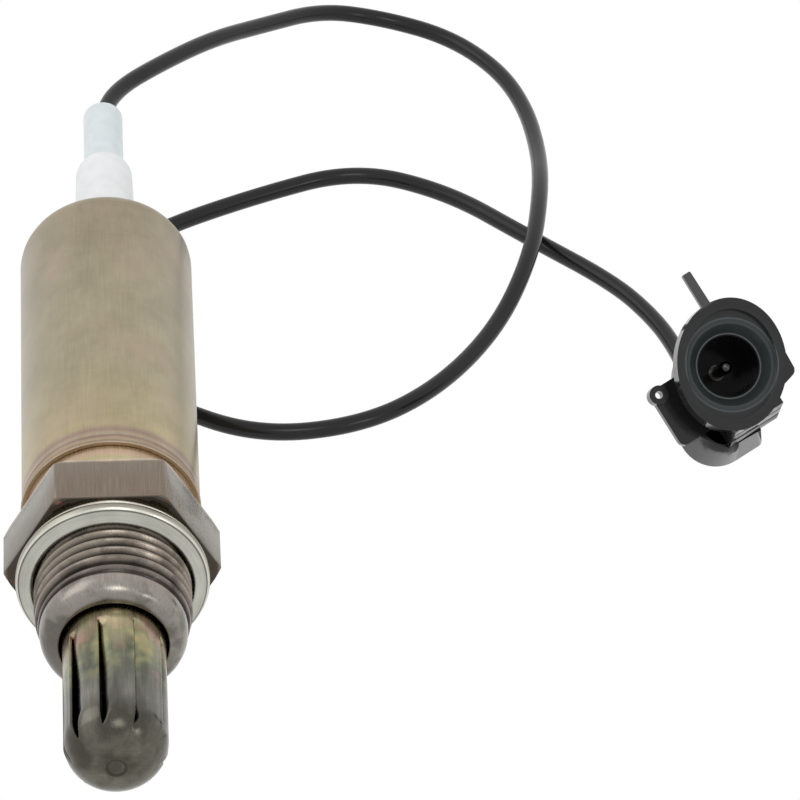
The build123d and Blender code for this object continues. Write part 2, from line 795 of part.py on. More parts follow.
# Rear lock: ring round the rear of the housing with one flat finger that stands up beside it.
with BuildPart() as rear_lock:
    with BuildSketch(MOUTH.offset(-lock_start)):
        Circle(lock_radius)
        Circle(rear_radius + lock_clearance, mode=Mode.SUBTRACT)
    extrude(amount=lock_start - lock_end)
    with BuildSketch(MOUTH.offset(-lock_start)) as finger:
        with BuildLine():
            Polyline(
                (lock_finger_x - lock_finger_root / 2, 0),
                (lock_finger_x - lock_finger_width / 2, lock_finger_reach),
                (lock_finger_x + lock_finger_width / 2, lock_finger_reach),
                (lock_finger_x + lock_finger_root / 2, 0),
                close=True,
            )
        make_face()
        fillet(finger.vertices().group_by(Axis.Y)[-1], lock_finger_rounding)
        Circle((rear_radius + lock_radius) / 2, mode=Mode.SUBTRACT)
    extrude(amount=-lock_finger_depth)
rear_lock.part.label = "rear_lock"
export_step(rear_lock.part, "parts/rear_lock.step")
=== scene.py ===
import json
from math import asin, atan2, cos, degrees, pi, radians, sin, tan

import bmesh
import bpy
from mathutils import Matrix, Vector


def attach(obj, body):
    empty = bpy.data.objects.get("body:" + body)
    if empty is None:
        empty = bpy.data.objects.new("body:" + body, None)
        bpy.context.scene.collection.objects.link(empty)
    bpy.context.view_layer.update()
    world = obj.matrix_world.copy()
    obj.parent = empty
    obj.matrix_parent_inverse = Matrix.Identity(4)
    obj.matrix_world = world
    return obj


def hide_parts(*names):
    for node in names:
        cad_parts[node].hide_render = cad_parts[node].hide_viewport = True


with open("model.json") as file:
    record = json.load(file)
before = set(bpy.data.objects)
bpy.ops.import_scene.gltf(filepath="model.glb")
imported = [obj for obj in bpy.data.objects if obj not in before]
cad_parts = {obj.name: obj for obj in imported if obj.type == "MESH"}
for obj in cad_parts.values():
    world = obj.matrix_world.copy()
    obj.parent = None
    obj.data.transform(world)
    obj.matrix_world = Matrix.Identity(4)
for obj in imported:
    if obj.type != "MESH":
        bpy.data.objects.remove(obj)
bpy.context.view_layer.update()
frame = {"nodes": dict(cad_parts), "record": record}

MM = 0.001

# ---- camera -----------------------------------------------------------------------------------
# A long lens looks down on the lying sensor from in front of its tip, a little from its left,
# so that the sensor runs away from the eye and the connector looks back at it.
mounts = {mount["name"]: mount for mount in frame["record"]["mounts"]}
thread_mount = mounts["thread"]
thread_middle_to_seat = 6.05 * MM
sensor_axis = -Vector(thread_mount["axis"])
seat = Vector(thread_mount["pos_m"]) + sensor_axis * thread_middle_to_seat

view_to_axis = radians(37.5)
view_yaw = radians(2.69)
view_pitch = view_to_axis - asin(sensor_axis.z)
view_distance = 773.3 * MM
seat_right_of_centre = -32.777 * MM
seat_above_centre = -19.648 * MM
lens_in_widths = 8.48
film_width = 36

look = Vector((
    sin(view_yaw) * cos(view_pitch),
    cos(view_yaw) * cos(view_pitch),
    -sin(view_pitch),
))
look_right = Vector((cos(view_yaw), -sin(view_yaw), 0))
look_up = look_right.cross(look)
off_centre = look_right * seat_right_of_centre + look_up * seat_above_centre
eye = seat - off_centre - look * view_distance

camera_data = bpy.data.cameras.new("camera")
camera_data.sensor_width = film_width
camera_data.lens = lens_in_widths * film_width
camera_data.clip_start = 0.01
camera_data.clip_end = 20
camera = bpy.data.objects.new("camera", camera_data)
camera.matrix_world = Matrix((look_right, look_up, -look)).transposed().to_4x4()
camera.matrix_world.translation = eye
bpy.context.scene.collection.objects.link(camera)
bpy.context.scene.camera = camera

# ---- lead -------------------------------------------------------------------------------------
# One stranded core in a smooth black jacket, 2.1 mm over all. It leaves the hose, lies in a
# wide loop on the floor, passes under the sleeve and rises into the rear of the connector.
lead_diameter = 2.1 * MM
lead_on_floor = lead_diameter / 2
connector_mount = mounts["terminal_pin"]
mouth_direction = Vector(connector_mount["axis"])
pin_middle_depth = 6.225 * MM
mouth = Vector(connector_mount["pos_m"]) + mouth_direction * pin_middle_depth
housing_depth = 16 * MM
hose_reach = 90.6 * MM
lead_entry = 3 * MM
lead_exit = 0.8 * MM

lead_start = seat + sensor_axis * (hose_reach - lead_entry)
lead_out = seat + sensor_axis * (hose_reach + lead_exit)
lead_back = mouth - mouth_direction * housing_depth
mouth_rise = asin(mouth_direction.z)
half_rise = mouth_rise / 2
bend_run = (lead_back.z - lead_on_floor) / (sin(mouth_rise) + sin(half_rise))
level = Vector((mouth_direction.x, mouth_direction.y, 0)).normalized()
bend_direction = level * cos(half_rise) + Vector((0, 0, sin(half_rise)))
upper_bend = lead_back - mouth_direction * bend_run
lower_bend = upper_bend - bend_direction * bend_run
low = lead_on_floor / MM
loop_mm = [
    (2.0, 68.5, 13.9),
    (7.0, 75.0, 13.0),
    (14.0, 84.0, 10.9),
    (20.5, 92.0, 7.6),
    (28.5, 100.5, 4.3),
    (36.5, 102.0, 1.9),
    (45.0, 98.5, low),
    (51.0, 90.5, low),
    (54.0, 81.5, low),
    (55.0, 70.0, 1.9),
    (54.5, 57.5, 4.3),
    (52.5, 43.5, 4.3),
    (47.5, 31.5, 1.6),
    (39.5, 20.0, low),
    (30.0, 13.0, low),
    (17.5, 11.5, low),
    (6.5, 18.5, low),
    (-2.5, 26.0, low),
    (-5.0, 36.5, low),
    (-2.5, 47.0, low),
    (6.0, 55.5, low),
    (18.5, 62.5, low),
    (31.5, 68.0, low),
    (43.0, 62.5, low),
    (52.5, 52.0, low),
    (62.5, 41.5, low),
    (67.0, 33.5, low),
    (69.2, 26.7, low),
]
loop = [Vector(point) * MM for point in loop_mm]
lead_route = [lead_start, lead_out, *loop, lower_bend, upper_bend, lead_back]

lead_curve = bpy.data.curves.new("lead_jacket", "CURVE")
lead_curve.dimensions = "3D"
lead_curve.bevel_depth = lead_diameter / 2
lead_curve.bevel_resolution = 8
lead_curve.resolution_u = 14
lead_curve.use_fill_caps = True
spline = lead_curve.splines.new("NURBS")
spline.points.add(len(lead_route) - 1)
for point, place in zip(spline.points, lead_route):
    point.co = (*place, 1)
spline.order_u = 3
spline.use_endpoint_u = True
lead_jacket = bpy.data.objects.new("lead_jacket", lead_curve)
bpy.context.scene.collection.objects.link(lead_jacket)


def add_node(tree, kind, links=None, **settings):
    """One shader node, with its settings and its inputs given by name, as values or as sockets."""
    node = tree.nodes.new(kind)
    for name, value in settings.items():
        setattr(node, name, value)
    for name, value in (links or {}).items():
        if isinstance(value, bpy.types.NodeSocket):
            tree.links.new(value, node.inputs[name])
        else:
            node.inputs[name].default_value = value
    return node


def new_material(name, **surface):
    """A material with one Principled surface, whose plain values are given here."""
    material = bpy.data.materials.new(name)
    material.use_nodes = True
    tree = material.node_tree
    tree.nodes.clear()
    shader = add_node(tree, "ShaderNodeBsdfPrincipled", surface)
    add_node(tree, "ShaderNodeOutputMaterial", {"Surface": shader.outputs["BSDF"]})
    return material, tree, shader


def noise(tree, place, scale, detail, roughness=0.5):
    """A cloudy value from 0 to 1 over a surface."""
    clouds = {"Vector": place, "Scale": scale, "Detail": detail, "Roughness": roughness}
    return add_node(tree, "ShaderNodeTexNoise", clouds).outputs[0]


def climb(tree, value, start, end, low=0.0, high=1.0):
    """Goes from low to high while a value goes from start to end."""
    span = {"Value": value, "From Min": start, "From Max": end, "To Min": low, "To Max": high}
    return add_node(tree, "ShaderNodeMapRange", span).outputs[0]


def give_grain(tree, shader, grain, bump, gloss=None):
    """A surface raised a little by its grain, whose roughness the grain spreads over two values."""
    raised = {"Height": grain, "Strength": bump, "Distance": 0.02 * MM}
    relief = add_node(tree, "ShaderNodeBump", raised)
    tree.links.new(relief.outputs["Normal"], shader.inputs["Normal"])
    if gloss:
        tree.links.new(climb(tree, grain, 0.3, 0.7, *gloss), shader.inputs["Roughness"])


black_jacket, tree, shader = new_material(
    "black_jacket", **{"Base Color": (0.010, 0.0102, 0.0105, 1), "Specular IOR Level": 0.28}
)
here = add_node(tree, "ShaderNodeTexCoord")
jacket_grain = noise(tree, here.outputs["Object"], 1400.0, 4.0)
give_grain(tree, shader, jacket_grain, bump=0.2, gloss=(0.16, 0.26))
lead_jacket.data.materials.append(black_jacket)

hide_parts("lead")
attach(lead_jacket, "root")

# ---- shell --------------------------------------------------------------------------------------
# Forged and turned stainless shell: nose, M18 thread, hexagon for a 22 mm wrench, and the collar
# that the sleeve is welded to. Heat has tinted it brown. Turned pieces are drawn in millimetres
# with z along the sensor from the washer's seat.
hex_across_flats = 21.6
hex_thickness = 7.1
hex_sides = 6
hex_turned_radius = 12.4
hex_face_radius = 11.75
hex_chamfer_slope = tan(radians(30))
hex_edge_rounding = 0.14
thread_radius = 9.0
thread_root = 8.16
thread_pitch = 1.5
thread_crest = 0.24
thread_sunk = 0.05
thread_root_rise = 0.04
thread_root_ease = 0.08
thread_crest_drop = 0.06
thread_crest_ease = 0.04
thread_merged_radius = 8.06
thread_first_crest = -2.0
thread_turns = 7
thread_run_out = 0.7
thread_lead_in = -7.8
thread_front = -10.3
thread_front_radius = 8.45
thread_relief_slope = 0.4
thread_bore = 7.2
nose_radius = 8.4
nose_reach = 13.3
nose_corner = 2.4
tube_hole = 6.2
tube_hole_end = -8.0
barrel_in_hexagon = 0.5
collar_radius = 9.95
collar_wall = 2.0
collar_end = 10.9

sensor_side = Vector((-1, 0, 0))
sensor_up = sensor_axis.cross(sensor_side)
sensor_place = (
    Matrix.Translation(seat)
    @ Matrix((sensor_side, sensor_up, sensor_axis)).transposed().to_4x4()
    @ Matrix.Scale(MM, 4)
)


def turned(outline, closed=True, steps=160):
    """A mesh turned round z from corners given as (along, radius, rounding)."""
    bm = bmesh.new()
    corners = [bm.verts.new((radius, 0, along)) for along, radius, rounding in outline]
    ends = corners[1:] + corners[:1] if closed else corners[1:]
    for start, end in zip(corners, ends):
        bm.edges.new((start, end))
    for corner, (along, radius, rounding) in zip(corners, outline):
        if rounding:
            bmesh.ops.bevel(
                bm, geom=[corner], offset=rounding, offset_type="OFFSET",
                affect="VERTICES", segments=6, profile=0.5, material=-1,
            )
    bmesh.ops.spin(
        bm, geom=bm.verts[:] + bm.edges[:], axis=(0, 0, 1), cent=(0, 0, 0),
        angle=2 * pi, steps=steps, use_merge=True,
    )
    bmesh.ops.remove_doubles(bm, verts=bm.verts, dist=0.0005)
    bmesh.ops.recalc_face_normals(bm, faces=bm.faces)
    return bm


def new_piece(name, bm, place, material, sharp_from=radians(28)):
    """The finished mesh of one piece, put in its place, smooth between its sharp edges."""
    bm.transform(place)
    for face in bm.faces:
        face.smooth = True
    for edge in bm.edges:
        edge.smooth = edge.calc_face_angle(0) < sharp_from
    mesh = bpy.data.meshes.new(name)
    bm.to_mesh(mesh)
    bm.free()
    mesh.materials.append(material)
    piece = bpy.data.objects.new(name, mesh)
    bpy.context.scene.collection.objects.link(piece)
    return piece


def join(bm, other):
    """Adds one mesh's faces to another."""
    spare = bpy.data.meshes.new("spare")
    other.to_mesh(spare)
    other.free()
    bm.from_mesh(spare)
    bpy.data.meshes.remove(spare)


def sensor_place_in(tree):
    """The place of a point on the sensor in millimetres, z along it from its seat and y down."""
    here = add_node(tree, "ShaderNodeTexCoord")
    from_seat = add_node(
        tree, "ShaderNodeVectorMath", {0: here.outputs["Object"], 1: tuple(seat)},
        operation="SUBTRACT",
    )
    laid = {
        "Vector": from_seat.outputs[0],
        "Rotation": (pi / 2 - asin(sensor_axis.z), 0, 0),
        "Scale": (1 / MM, 1 / MM, 1 / MM),
    }
    return add_node(tree, "ShaderNodeMapping", laid, vector_type="POINT").outputs["Vector"]


def stretched(tree, place, factors):
    """A place multiplied along each axis, to stretch the pattern that reads it."""
    product = {0: place, 1: factors}
    return add_node(tree, "ShaderNodeVectorMath", product, operation="MULTIPLY").outputs[0]


def from_axis(tree, place, scale=1.0):
    """How far a point is from the z axis."""
    flat = {0: stretched(tree, place, (scale, scale, 0))}
    return add_node(tree, "ShaderNodeVectorMath", flat, operation="LENGTH").outputs["Value"]


def times(tree, value, other):
    """One mask or value multiplied by another."""
    return add_node(tree, "ShaderNodeMath", {0: value, 1: other}, operation="MULTIPLY").outputs[0]


def new_group(name, inputs, outputs):
    """An empty node group with its sockets, each given as name: kind."""
    group = bpy.data.node_groups.new(name, "ShaderNodeTree")
    for direction, sockets in (("INPUT", inputs), ("OUTPUT", outputs)):
        for socket, kind in sockets.items():
            group.interface.new_socket(socket, in_out=direction, socket_type=f"NodeSocket{kind}")
    return group, group.nodes.new("NodeGroupInput"), group.nodes.new("NodeGroupOutput")


# Tool marks: fine rings left by turning, faint scratches along the sensor and wide dull patches.
tool_marks, group_in, group_out = new_group(
    "tool_marks",
    {"Place": "Vector", "Rings": "Float", "Scratches": "Float"},
    {"Grain": "Float", "Patches": "Float"},
)
place = group_in.outputs["Place"]
rings = noise(tool_marks, stretched(tool_marks, place, (0.12, 0.12, 9.0)), 1.0, 4.0, 0.7)
rings_part = times(tool_marks, rings, group_in.outputs["Rings"])
scratches = noise(tool_marks, stretched(tool_marks, place, (5.0, 5.0, 0.22)), 1.0, 5.0, 0.65)
grain = add_node(
    tool_marks, "ShaderNodeMath", {0: scratches, 1: group_in.outputs["Scratches"], 2: rings_part},
    operation="MULTIPLY_ADD",
)
patches = noise(tool_marks, place, 0.16, 5.0, 0.6)
tool_marks.links.new(grain.outputs[0], group_out.inputs["Grain"])
tool_marks.links.new(patches, group_out.inputs["Patches"])


def colour_band(tree, factor, stops):
    """Colours along a factor, from stops given as (place, colour)."""
    band = add_node(tree, "ShaderNodeValToRGB", {"Fac": factor})
    ramp = band.color_ramp
    for place, colour in stops[2:]:
        ramp.elements.new(place)
    for element, (place, colour) in zip(ramp.elements, stops):
        element.position = place
        element.color = (*colour, 1)
    return band.outputs["Color"]


def shaded_by(tree, colour, value, low_high, dark_light):
    """A colour made darker and lighter as a value goes from low to high."""
    layers = {0: 1.0, 6: colour, 7: climb(tree, value, *low_high, *dark_light)}
    shaded = add_node(tree, "ShaderNodeMix", layers, data_type="RGBA", blend_type="MULTIPLY")
    return shaded.outputs[2]


def mixed(tree, factor, colour, other):
    """One colour laid over another where a mask is 1."""
    layers = {0: factor, 6: colour, 7: other}
    return add_node(tree, "ShaderNodeMix", layers, data_type="RGBA").outputs[2]


def within(tree, value, low, high, soft):
    """A mask that is 1 between two values and fades to 0 over a soft edge."""
    return times(tree, climb(tree, value, low - soft, low), climb(tree, value, high + soft, high))


def worn_metal(name, stops, span, rings, scratches, gloss, bump, wander):
    """Worn steel whose tint changes along the sensor over a span in millimetres."""
    material, tree, shader = new_material(name, Metallic=1.0)
    place = sensor_place_in(tree)
    along = add_node(tree, "ShaderNodeSeparateXYZ", {0: place}).outputs["Z"]
    marked = {"Place": place, "Rings": rings, "Scratches": scratches}
    marks = add_node(tree, "ShaderNodeGroup", marked, node_tree=tool_marks).outputs
    wandering = add_node(
        tree, "ShaderNodeMath", {0: marks["Patches"], 1: wander, 2: along},
        operation="MULTIPLY_ADD",
    )
    heated = climb(tree, wandering.outputs[0], span[0] + wander / 2, span[1] + wander / 2)
    tint = colour_band(tree, heated, stops)
    tint = shaded_by(tree, tint, marks["Grain"], (0.3, 0.7), (0.84, 1.14))
    tint = shaded_by(tree, tint, marks["Patches"], (0.35, 0.65), (0.88, 1.1))
    tree.links.new(tint, shader.inputs["Base Color"])
    give_grain(tree, shader, marks["Grain"], bump, gloss)
    return material, tree, shader, place, along, tint, marks["Grain"]


shell_steel, tree, shader, place, along, tint, grain = worn_metal(
    "heat_tinted_shell",
    [
        (0.00, (0.24, 0.22, 0.195)),
        (0.05, (0.30, 0.28, 0.25)),
        (0.12, (0.34, 0.295, 0.265)),
        (0.20, (0.21, 0.178, 0.152)),
        (0.40, (0.215, 0.186, 0.152)),
        # This dark stop at the hexagon's front face is painted shade.
        (0.545, (0.18, 0.154, 0.13)),
        (0.58, (0.26, 0.245, 0.205)),
        (0.80, (0.235, 0.22, 0.18)),
        (0.83, (0.78, 0.62, 0.47)),
        (0.86, (0.66, 0.42, 0.28)),
        (0.89, (0.46, 0.42, 0.24)),
        (0.92, (0.54, 0.38, 0.27)),
        (1.00, (0.38, 0.32, 0.21)),
    ],
    span=(-13.5, 11.5), rings=0.08, scratches=0.85, gloss=(0.18, 0.36), bump=0.45, wander=0.8,
)
# The flat on top of the hexagon is painted darker and browner: painted shade.
down = add_node(tree, "ShaderNodeSeparateXYZ", {0: place}).outputs["Y"]
on_flat = times(tree, climb(tree, down, -8.0, -10.4, high=0.85), within(tree, along, 0.4, 6.6, 0.3))
painted_flat_shade = shaded_by(tree, (0.225, 0.175, 0.138, 1), grain, (0.3, 0.7), (0.8, 1.2))
tint = mixed(tree, on_flat, tint, painted_flat_shade)
# The thread's grooves are painted darker, partly dirt and partly painted shade, and its crests are
# painted lighter as painted highlights.
groove_to_crest = (thread_root + 0.25, thread_radius - 0.02)
groove_dirt_shade_highlight = shaded_by(tree, tint, from_axis(tree, place), groove_to_crest, (0.16, 1.55))
tint = mixed(tree, within(tree, along, thread_front, 0.2, 0.3), tint, groove_dirt_shade_highlight)
# Dark blotches of scale lie on the nose and the thread.
blotches = climb(tree, noise(tree, place, 0.22, 3.0, 0.55), 0.46, 0.56, high=0.75)
scale = shaded_by(tree, tint, along, (-13.0, -4.0), (0.5, 0.42))
tint = mixed(tree, times(tree, blotches, within(tree, along, -13.6, -0.5, 0.2)), tint, scale)
# A dark band is painted round the hexagon's front face, as painted shade from the washer before it
# and a painted dark reflection, with specks of rust behind it.
tint = mixed(tree, within(tree, along, -0.2, 0.1, 0.35), tint, (0.062, 0.052, 0.04, 1))
rust = climb(tree, noise(tree, place, 0.55, 6.0, 0.7), 0.6, 0.68)
rust_specks = times(tree, rust, within(tree, along, 0.4, 1.6, 1.2))
tint = mixed(tree, rust_specks, tint, (0.25, 0.10, 0.065, 1))
tree.links.new(tint, shader.inputs["Base Color"])

barrel = turned([
    (tube_hole_end, tube_hole, 0),
    (-nose_reach, tube_hole, 0.2),
    (-nose_reach, nose_radius, nose_corner),
    (thread_front, nose_radius, 0.1),
    (thread_front + thread_relief_slope, thread_root, 0.1),
    (barrel_in_hexagon, thread_root, 0),
    (barrel_in_hexagon, collar_radius, 0),
    (collar_end, collar_radius, 0.3),
    (collar_end, collar_radius - collar_wall, 0),
])
hex_chamfer = (hex_turned_radius - hex_face_radius) * hex_chamfer_slope
hexagon = turned([
    (0.0, 0.0, 0),
    (0.0, hex_face_radius, 0),
    (hex_chamfer, hex_turned_radius, 0),
    (hex_thickness - hex_chamfer, hex_turned_radius, 0),
    (hex_thickness, hex_face_radius, 0),
    (hex_thickness, 0.0, 0),
], closed=False)
for side in range(hex_sides):
    turn = radians(360 / hex_sides * (side + 0.5))
    outwards = Vector((cos(turn), sin(turn), 0))
    cut = bmesh.ops.bisect_plane(
        hexagon, geom=hexagon.verts[:] + hexagon.edges[:] + hexagon.faces[:],
        plane_co=outwards * hex_across_flats / 2, plane_no=outwards, clear_outer=True,
    )
    rim = [part for part in cut["geom_cut"] if isinstance(part, bmesh.types.BMEdge)]
    bmesh.ops.holes_fill(hexagon, edges=rim, sides=0)
bmesh.ops.recalc_face_normals(hexagon, faces=hexagon.faces)
hard_edges = [edge for edge in hexagon.edges if edge.calc_face_angle(0) > radians(18)]
bmesh.ops.bevel(
    hexagon, geom=hard_edges, offset=hex_edge_rounding, offset_type="OFFSET",
    affect="EDGES", segments=2, profile=0.5, material=-1, clamp_overlap=True,
)
join(barrel, hexagon)

# The thread is the profile of one ridge screwed along the barrel. It sinks into the barrel where
# it runs out behind, and is turned down to a lead-in in front.
thread = bmesh.new()
half_crest = thread_crest / 2
half_pitch = thread_pitch / 2
ridge = [
    (thread_root - thread_sunk, -half_pitch),
    (thread_root + thread_root_rise, thread_root_ease - half_pitch),
    (thread_radius - thread_crest_drop, -half_crest - thread_crest_drop),
    (thread_radius, thread_crest_ease - half_crest),
    (thread_radius, half_crest - thread_crest_ease),
    (thread_radius - thread_crest_drop, half_crest + thread_crest_drop),
    (thread_root + thread_root_rise, half_pitch - thread_root_ease),
    (thread_root - thread_sunk, half_pitch),
]
thread_tip = thread_first_crest - (thread_turns - 1) * thread_pitch
corners = [thread.verts.new((0, radius, thread_tip + rise)) for radius, rise in ridge]
for start, end in zip(corners, corners[1:]):
    thread.edges.new((start, end))
turn_steps = 120
bmesh.ops.spin(
    thread, geom=thread.verts[:] + thread.edges[:], axis=(0, 0, 1), cent=(0, 0, 0),
    angle=2 * pi * thread_turns, steps=turn_steps * thread_turns,
    dvec=(0, 0, thread_pitch / turn_steps),
)
bmesh.ops.remove_doubles(thread, verts=thread.verts, dist=0.002)
thread_back = thread_first_crest + thread_run_out
for vert in thread.verts:
    radius = vert.co.xy.length
    run_out = max(0.0, min(1.0, (thread_back - vert.co.z) / thread_run_out))
    ahead = max(0.0, (thread_lead_in - vert.co.z) / (thread_lead_in - thread_front))
    most = min(
        thread_radius - (thread_radius - thread_front_radius) * ahead,
        thread_merged_radius + (thread_radius - thread_merged_radius) * run_out,
    )
    if vert.co.z < thread_front:
        most = thread_merged_radius
    kept = min(radius, most) / radius
    vert.co.x *= kept
    vert.co.y *= kept
# Inside the barrel's wall the thread is closed by a plain bore.
open_edges = [edge for edge in thread.edges if edge.is_boundary]
bore = bmesh.ops.extrude_edge_only(thread, edges=open_edges)["geom"]
for vert in (part for part in bore if isinstance(part, bmesh.types.BMVert)):
    vert.co.xy = vert.co.xy.normalized() * thread_bore
bmesh.ops.bridge_loops(thread, edges=[edge for edge in thread.edges if edge.is_boundary])
bmesh.ops.recalc_face_normals(thread, faces=thread.faces)
join(barrel, thread)

shell = new_piece("hex_shell_steel", barrel, sensor_place, shell_steel)
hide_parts("hex_shell")
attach(shell, "root")

# ---- washer -------------------------------------------------------------------------------------
# Crush gasket rolled from one strip of stainless sheet, folded three times with its open groove
# outwards. It sits loose on the thread relief against the hexagon.
washer_sheet = 0.5
washer_bend = 0.28
washer_fold = [
    (-0.25, 10.65, 0),
    (-0.25, 9.42, washer_bend),
    (-2.8, 9.36, washer_bend),
    (-1.8, 10.85, washer_bend),
    (-1.12, 10.85, washer_bend),
    (-1.02, 10.0, 0),
]
# The washer's thin dark and bright rings along its folds are painted shade and painted highlights.
washer_steel, *_ = worn_metal(
    "washer_steel",
    [
        (0.00, (0.47, 0.47, 0.415)),
        (0.19, (0.45, 0.45, 0.40)),
        (0.215, (0.15, 0.14, 0.12)),
        (0.235, (0.17, 0.16, 0.135)),
        (0.255, (0.74, 0.73, 0.65)),
        (0.30, (0.66, 0.65, 0.57)),
        (0.34, (0.42, 0.40, 0.34)),
        (0.50, (0.30, 0.28, 0.23)),
        (0.53, (0.10, 0.09, 0.075)),
        (0.57, (0.10, 0.09, 0.075)),
        (0.59, (0.66, 0.64, 0.56)),
        (1.00, (0.50, 0.47, 0.38)),
    ],
    span=(-2.8, 0.0), rings=0.9, scratches=0.1, gloss=(0.22, 0.4), bump=0.35, wander=0.0,
)
washer = new_piece("crush_washer", turned(washer_fold, closed=False), sensor_place, washer_steel)
wall = washer.modifiers.new("sheet", "SOLIDIFY")
wall.thickness = washer_sheet * MM
wall.offset = 0
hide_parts("sealing_washer")
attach(washer, "root")

# ---- protection tube ----------------------------------------------------------------------------
# Deep-drawn heat-proof cup. Nine long slits run down it, and beside each the sheet is pressed in
# to a louvre that closes in a drop at both ends. The tip carries the round mark of the punch.
tube_radius = 5.85
tube_wall = 0.45
tube_start = -12.6
tube_reach = 34.3
tube_dome_corner = 4.5
louvre_count = 9
louvre_top = -14.9
louvre_tip = -32.6
louvre_turn = -7.0
louvre_press = 0.95
louvre_shallow_press = 0.5
louvre_span = 24.0
louvre_narrow_span = 13.0
louvre_opens_over = 10.0
louvre_lift = 0.05
louvre_lift_span = 6.0
louvre_top_ease = 1.0
louvre_tip_ease = 1.5
louvre_closes_over = 4.5
louvre_tip_share = 0.3
louvre_curl = 1.4
columns_per_louvre = 30
mark_radius = 1.15
mark_rim = 0.2
mark_depth = 0.2

tube = bmesh.new()
tube_outline = [(tube_start, tube_radius), (-tube_reach, tube_radius), (-tube_reach, 0)]
corners = [tube.verts.new((radius, 0, along)) for along, radius in tube_outline]
tube.edges.new(corners[:2])
tube.edges.new(corners[1:])
bmesh.ops.bevel(
    tube, geom=[corners[1]], offset=tube_dome_corner, offset_type="OFFSET",
    affect="VERTICES", segments=18, profile=0.5, material=-1,
)
long_edges = [edge for edge in tube.edges if edge.calc_length() > tube_dome_corner]
bmesh.ops.subdivide_edges(tube, edges=long_edges, cuts=56)
short_edges = [edge for edge in tube.edges if min(vert.co.x for vert in edge.verts) < 0.001]
bmesh.ops.subdivide_edges(tube, edges=short_edges, cuts=6)
bmesh.ops.spin(
    tube, geom=tube.verts[:] + tube.edges[:], axis=(0, 0, 1), cent=(0, 0, 0),
    angle=2 * pi, steps=louvre_count * columns_per_louvre, use_merge=True,
)
bmesh.ops.remove_doubles(tube, verts=tube.verts, dist=0.0005)
bmesh.ops.recalc_face_normals(tube, faces=tube.faces)

louvre_pitch = 360 / louvre_count


def smooth_step(value):
    """A smooth climb from 0 to 1."""
    value = max(0.0, min(1.0, value))
    return value * value * (3 - 2 * value)


def louvre_angle(point):
    """Degrees from the slit before a point, round the tube."""
    return degrees(atan2(point.y, point.x)) % louvre_pitch


def in_slit(vert):
    """Whether a vertex lies on one of the slit lines."""
    from_slit = louvre_angle(vert.co)
    on_line = min(from_slit, louvre_pitch - from_slit) < 0.1
    in_reach = louvre_tip - 0.01 < vert.co.z < louvre_top + 0.01
    return on_line and in_reach and vert.co.xy.length > 1


slit_edges = [edge for edge in tube.edges if all(in_slit(vert) for vert in edge.verts)]
bmesh.ops.split_edges(tube, edges=slit_edges)
for vert in tube.verts:
    radius = vert.co.xy.length
    if radius < 1 or not louvre_tip < vert.co.z < louvre_top:
        continue
    faces = vert.link_faces
    middle = sum((face.calc_center_median() for face in faces), Vector()) / len(faces)
    beside = louvre_angle(middle)
    from_slit = louvre_angle(vert.co)
    if beside < louvre_pitch / 2 and from_slit > louvre_pitch - 1:
        from_slit = 0
    if beside > louvre_pitch / 2 and from_slit < 1:
        from_slit = louvre_pitch
    top_end = smooth_step((louvre_top - vert.co.z) / louvre_top_ease)
    ends = top_end * smooth_step((vert.co.z - louvre_tip) / louvre_tip_ease)
    opened = smooth_step((louvre_top - vert.co.z) / louvre_opens_over)
    closed = smooth_step((vert.co.z - louvre_tip) / louvre_closes_over)
    depth = louvre_shallow_press + (louvre_press - louvre_shallow_press) * opened
    span = louvre_narrow_span + (louvre_span - louvre_narrow_span) * opened
    span *= louvre_tip_share + (1 - louvre_tip_share) * closed
    pressed = depth * max(0.0, 1 - from_slit / span) ** louvre_curl
    lifted = louvre_lift * (1 - smooth_step((louvre_pitch - from_slit) / louvre_lift_span))
    moved = (radius - ends * (pressed - lifted)) / radius
    vert.co.x *= moved
    vert.co.y *= moved
# The punch leaves a shallow round dimple on the tip.
for vert in tube.verts:
    if vert.co.xy.length < mark_radius - mark_rim and vert.co.z < 0.3 - tube_reach:
        vert.co.z += mark_depth
tube.transform(Matrix.Rotation(radians(louvre_turn), 4, "Z"))

tube_steel, tree, shader, place, along, tint, _ = worn_metal(
    "louvred_tube_steel",
    [
        (0.00, (0.105, 0.10, 0.078)),
        (0.20, (0.115, 0.112, 0.092)),
        (0.34, (0.165, 0.16, 0.14)),
        (0.55, (0.13, 0.132, 0.108)),
        (0.70, (0.17, 0.17, 0.115)),
        (0.80, (0.28, 0.235, 0.155)),
        (0.90, (0.38, 0.31, 0.19)),
        (1.00, (0.50, 0.43, 0.27)),
    ],
    span=(-tube_reach, -14.0), rings=0.15, scratches=0.85, gloss=(0.15, 0.3), bump=0.4, wander=2.5,
)
# Long dull and bright streaks run down the tube.
streaks = noise(tree, stretched(tree, place, (0.32, 0.32, 0.07)), 1.0, 3.0, 0.55)
tint = shaded_by(tree, tint, streaks, (0.38, 0.62), (0.66, 1.34))
# Rose, green and straw heat colours lie in patches over the shell end of the tube.
heat_patches = noise(tree, place, 0.3, 2.0)
hot_end = climb(tree, along, -26.0, -18.0, high=0.85)
for start, end, colour in (
    (0.52, 0.68, (0.40, 0.24, 0.20, 1)),
    (0.50, 0.36, (0.23, 0.275, 0.155, 1)),
    (0.44, 0.24, (0.50, 0.36, 0.18, 1)),
):
    patch = times(tree, climb(tree, heat_patches, start, end), hot_end)
    tint = mixed(tree, patch, tint, colour)
